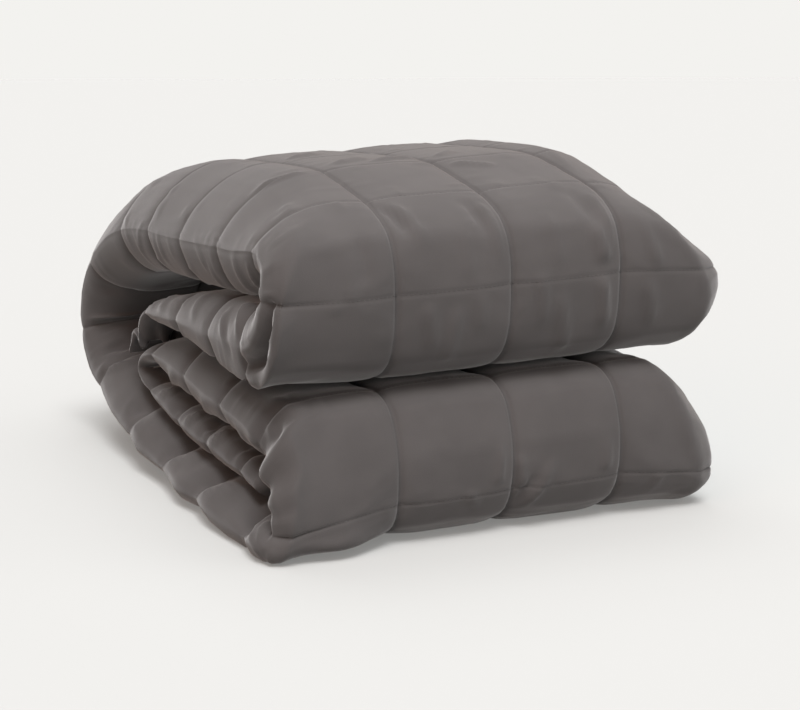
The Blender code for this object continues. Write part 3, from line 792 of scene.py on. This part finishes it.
def thread_material():
    """Matte twisted thread, a shade darker than the cloth."""
    material = bpy.data.materials.new("quilting_thread")
    material.use_nodes = True
    nodes, links = material.node_tree.nodes, material.node_tree.links
    shader = nodes["Principled BSDF"]
    shader.inputs["Roughness"].default_value = 0.75
    shader.inputs["Specular IOR Level"].default_value = 0.3
    shader.inputs["Sheen Weight"].default_value = 0.2
    place = nodes.new("ShaderNodeTexCoord")
    twist = nodes.new("ShaderNodeTexNoise")
    twist.inputs["Scale"].default_value = 900.0
    tone = nodes.new("ShaderNodeValToRGB")
    for stop, colour in zip(tone.color_ramp.elements, THREAD_TONES):
        stop.color = (*colour, 1.0)
    links.new(place.outputs["Object"], twist.inputs["Vector"])
    links.new(twist.outputs["Fac"], tone.inputs["Fac"])
    links.new(tone.outputs["Color"], shader.inputs["Base Color"])
    return material


def floor_material():
    """Plain pale studio floor, with a faint glow that keeps its shadows light."""
    material = bpy.data.materials.new("pale_floor")
    material.use_nodes = True
    shader = material.node_tree.nodes["Principled BSDF"]
    shader.inputs["Base Color"].default_value = (*FLOOR_COLOUR, 1.0)
    shader.inputs["Emission Color"].default_value = (*BACKDROP_COLOUR, 1.0)
    shader.inputs["Emission Strength"].default_value = FLOOR_GLOW
    shader.inputs["Roughness"].default_value = 1.0
    shader.inputs["Specular IOR Level"].default_value = 0.0
    return material


# ---------------------------------------------------------------- pieces
def link(obj):
    """Puts an object into the scene."""
    bpy.context.scene.collection.objects.link(obj)
    return obj


def blanket():
    """The folded blanket's cloth over its filling, one closed surface."""
    swing = sheet_swing(ROWS, RING)
    slack = slab_grid(ROWS, RING, pillow_drawn(ROWS, RING, MODELLED_PUFF), swing)
    points = filled(to_metres(slack))
    relief = groove_drawn(ROWS, RING) - crease_heights(ROWS, RING)
    stitched = slab_grid(ROWS, RING, relief)
    points = points + (stitched - slab_grid(ROWS, RING, 0.0 * ROWS[:, None])) * SQUARE
    points[..., 2] = np.maximum(points[..., 2], 0.0)
    mesh = grid_mesh("blanket_cloth", points)
    mesh.materials.append(cloth_material())
    mesh.shade_smooth()
    piece = link(bpy.data.objects.new("blanket_cloth", mesh))
    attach(piece, "root")
    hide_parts("blanket")
    return points


def shown_whole(seam):
    """Whether a crosswise seam is stitched over the whole outer face."""
    return any(first <= seam <= last for first, last in SHOWN_SEAMS)


def seam_paths(points):
    """The lines of the stitched seams on the finished cloth."""
    across = across_of(RING)
    order = np.argsort(across, kind="stable")
    paths = []
    for seam in range(math.ceil(ROWS[0]), math.ceil(ROWS[-1])):
        row = int(np.argmin(np.abs(ROWS - seam)))
        reach = STITCHES_END if shown_whole(seam) else EDGE_STITCHES
        kept = [i for i in order if -EDGE_STITCHES <= across[i] <= reach]
        paths.append(points[row, kept])
    for first, last in SHOWN_RUNS:
        kept = (ROWS >= first) & (ROWS <= last)
        for seam in range(1, len(COLUMN_SEAMS) + 1):
            paths.append(points[kept, int(np.argmin(np.abs(RING - seam)))])
    for path in paths:
        path[:, 2] = np.maximum(path[:, 2], THREAD_RADIUS)
    return paths


def line_mesh(name, paths):
    """Open lines of edges through the points of each path."""
    edges = []
    start = 0
    for path in paths:
        edges.extend((start + i, start + i + 1) for i in range(len(path) - 1))
        start += len(path)
    mesh = bpy.data.meshes.new(name)
    mesh.from_pydata(np.concatenate(paths).tolist(), edges, [])
    return mesh


def stitch_tree():
    """Nodes that lay one short thread after another along lines, and their named inputs."""
    tree = bpy.data.node_groups.new("quilting_stitches", "GeometryNodeTree")
    sockets = tree.interface
    sockets.new_socket(name="Seam Lines", in_out="INPUT", socket_type="NodeSocketGeometry")
    inputs = {name: sockets.new_socket(name=name, in_out="INPUT", socket_type="NodeSocketFloat")
              for name in ("Pitch", "Stitch Length", "Thread Radius")}
    inputs["Thread"] = sockets.new_socket(name="Thread", in_out="INPUT",
                                          socket_type="NodeSocketMaterial")
    sockets.new_socket(name="Stitches", in_out="OUTPUT", socket_type="NodeSocketGeometry")
    kinds = {"given": "NodeGroupInput", "line": "GeometryNodeMeshToCurve",
             "spaced": "GeometryNodeResampleCurve", "run": "GeometryNodeInputTangent",
             "turned": "FunctionNodeAlignRotationToVector", "bead": "GeometryNodeMeshUVSphere",
             "half": "ShaderNodeMath", "size": "ShaderNodeCombineXYZ",
             "placed": "GeometryNodeInstanceOnPoints", "smooth": "GeometryNodeSetShadeSmooth",
             "real": "GeometryNodeRealizeInstances", "finish": "GeometryNodeSetMaterial",
             "result": "NodeGroupOutput"}
    node = {name: tree.nodes.new(kind) for name, kind in kinds.items()}
    node["spaced"].mode = "LENGTH"
    node["turned"].axis = "Z"
    node["half"].operation = "MULTIPLY"
    node["half"].inputs[1].default_value = 0.5
    node["bead"].inputs["Segments"].default_value = STITCH_SIDES
    node["bead"].inputs["Rings"].default_value = 4
    node["bead"].inputs["Radius"].default_value = 1.0
    for start, output, end, entry in (
            ("given", "Seam Lines", "line", "Mesh"), ("line", "Curve", "spaced", "Curve"),
            ("given", "Pitch", "spaced", "Length"), ("spaced", "Curve", "placed", "Points"),
            ("run", "Tangent", "turned", "Vector"), ("turned", "Rotation", "placed", "Rotation"),
            ("given", "Thread Radius", "size", "X"), ("given", "Thread Radius", "size", "Y"),
            ("given", "Stitch Length", "half", 0), ("half", "Value", "size", "Z"),
            ("size", "Vector", "placed", "Scale"), ("bead", "Mesh", "smooth", "Geometry"),
            ("smooth", "Geometry", "placed", "Instance"),
            ("placed", "Instances", "real", "Geometry"), ("real", "Geometry", "finish", "Geometry"),
            ("given", "Thread", "finish", "Material"), ("finish", "Geometry", "result", "Stitches")):
        tree.links.new(node[start].outputs[output], node[end].inputs[entry])
    return tree, inputs


def stitches(points):
    """The quilting stitches in the grooves of the finished cloth."""
    lines = link(bpy.data.objects.new("seam_lines", line_mesh("seam_lines", seam_paths(points))))
    tree, inputs = stitch_tree()
    sewing = lines.modifiers.new("stitches", "NODES")
    sewing.node_group = tree
    for name, value in (("Pitch", STITCH_PITCH), ("Stitch Length", STITCH_LENGTH),
                        ("Thread Radius", THREAD_RADIUS), ("Thread", thread_material())):
        sewing[inputs[name].identifier] = value
    sewn = lines.evaluated_get(bpy.context.evaluated_depsgraph_get())
    mesh = bpy.data.meshes.new_from_object(sewn)
    mesh.name = "quilting_stitches"
    bpy.data.objects.remove(lines)
    piece = link(bpy.data.objects.new("quilting_stitches", mesh))
    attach(piece, "root")


# ---------------------------------------------------------------- stage
def floor():
    """The flat floor, which is stage and no part of the blanket."""
    mesh = bpy.data.meshes.new("floor")
    mesh.from_pydata([(-FLOOR_REACH, -FLOOR_REACH, 0), (FLOOR_REACH, -FLOOR_REACH, 0),
                      (FLOOR_REACH, FLOOR_REACH, 0), (-FLOOR_REACH, FLOOR_REACH, 0)],
                     [], [(0, 1, 2, 3)])
    mesh.materials.append(floor_material())
    link(bpy.data.objects.new("floor", mesh))


def camera():
    """The camera, at its place beyond the block's front left foot."""
    data = bpy.data.cameras.new("camera")
    data.lens = CAMERA_LENS
    data.sensor_width = CAMERA_SENSOR
    rig = link(bpy.data.objects.new("camera", data))
    rig.location = (np.array(CAMERA_PLACE) - MIDDLE) * SQUARE
    rig.rotation_euler = (math.radians(90.0 + CAMERA_TILT), 0.0, math.radians(CAMERA_TURN))
    bpy.context.scene.camera = rig


def sun(name, turn, height, power, spread, colour):
    """A wide soft source very far away, so the whole floor is lit alike."""
    data = bpy.data.lights.new(name, "SUN")
    data.energy = power
    data.color = colour
    data.angle = math.radians(spread)
    lamp = link(bpy.data.objects.new(name, data))
    lamp.rotation_euler = (math.radians(90.0 - height), 0.0, math.radians(turn))


def surroundings():
    """A pale backdrop all round at the floor's height, and a softer room above it."""
    world = bpy.data.worlds.new("studio")
    bpy.context.scene.world = world
    world.use_nodes = True
    nodes, links = world.node_tree.nodes, world.node_tree.links
    back = nodes["Background"]
    way = nodes.new("ShaderNodeTexCoord")
    part = nodes.new("ShaderNodeSeparateXYZ")
    share = nodes.new("ShaderNodeMapRange")
    share.inputs["From Min"].default_value = BACKDROP_HEIGHT[0]
    share.inputs["From Max"].default_value = BACKDROP_HEIGHT[1]
    tone = nodes.new("ShaderNodeMix")
    tone.data_type = "RGBA"
    tone.inputs["A"].default_value = (*BACKDROP_COLOUR, 1.0)
    tone.inputs["B"].default_value = (DOME_LIGHT, DOME_LIGHT, DOME_LIGHT, 1.0)
    links.new(way.outputs["Generated"], part.inputs["Vector"])
    links.new(part.outputs["Z"], share.inputs["Value"])
    links.new(share.outputs["Result"], tone.inputs["Factor"])
    links.new(tone.outputs["Result"], back.inputs["Color"])


def light():
    """The surroundings and the soft sources."""
    surroundings()
    for name, row in SUNS.items():
        sun(name, *row)
    bpy.context.scene.view_settings.view_transform = "Standard"


def main():
    """Stage first, then the blanket and its stitches."""
    camera()
    floor()
    light()
    stitches(blanket())


main()
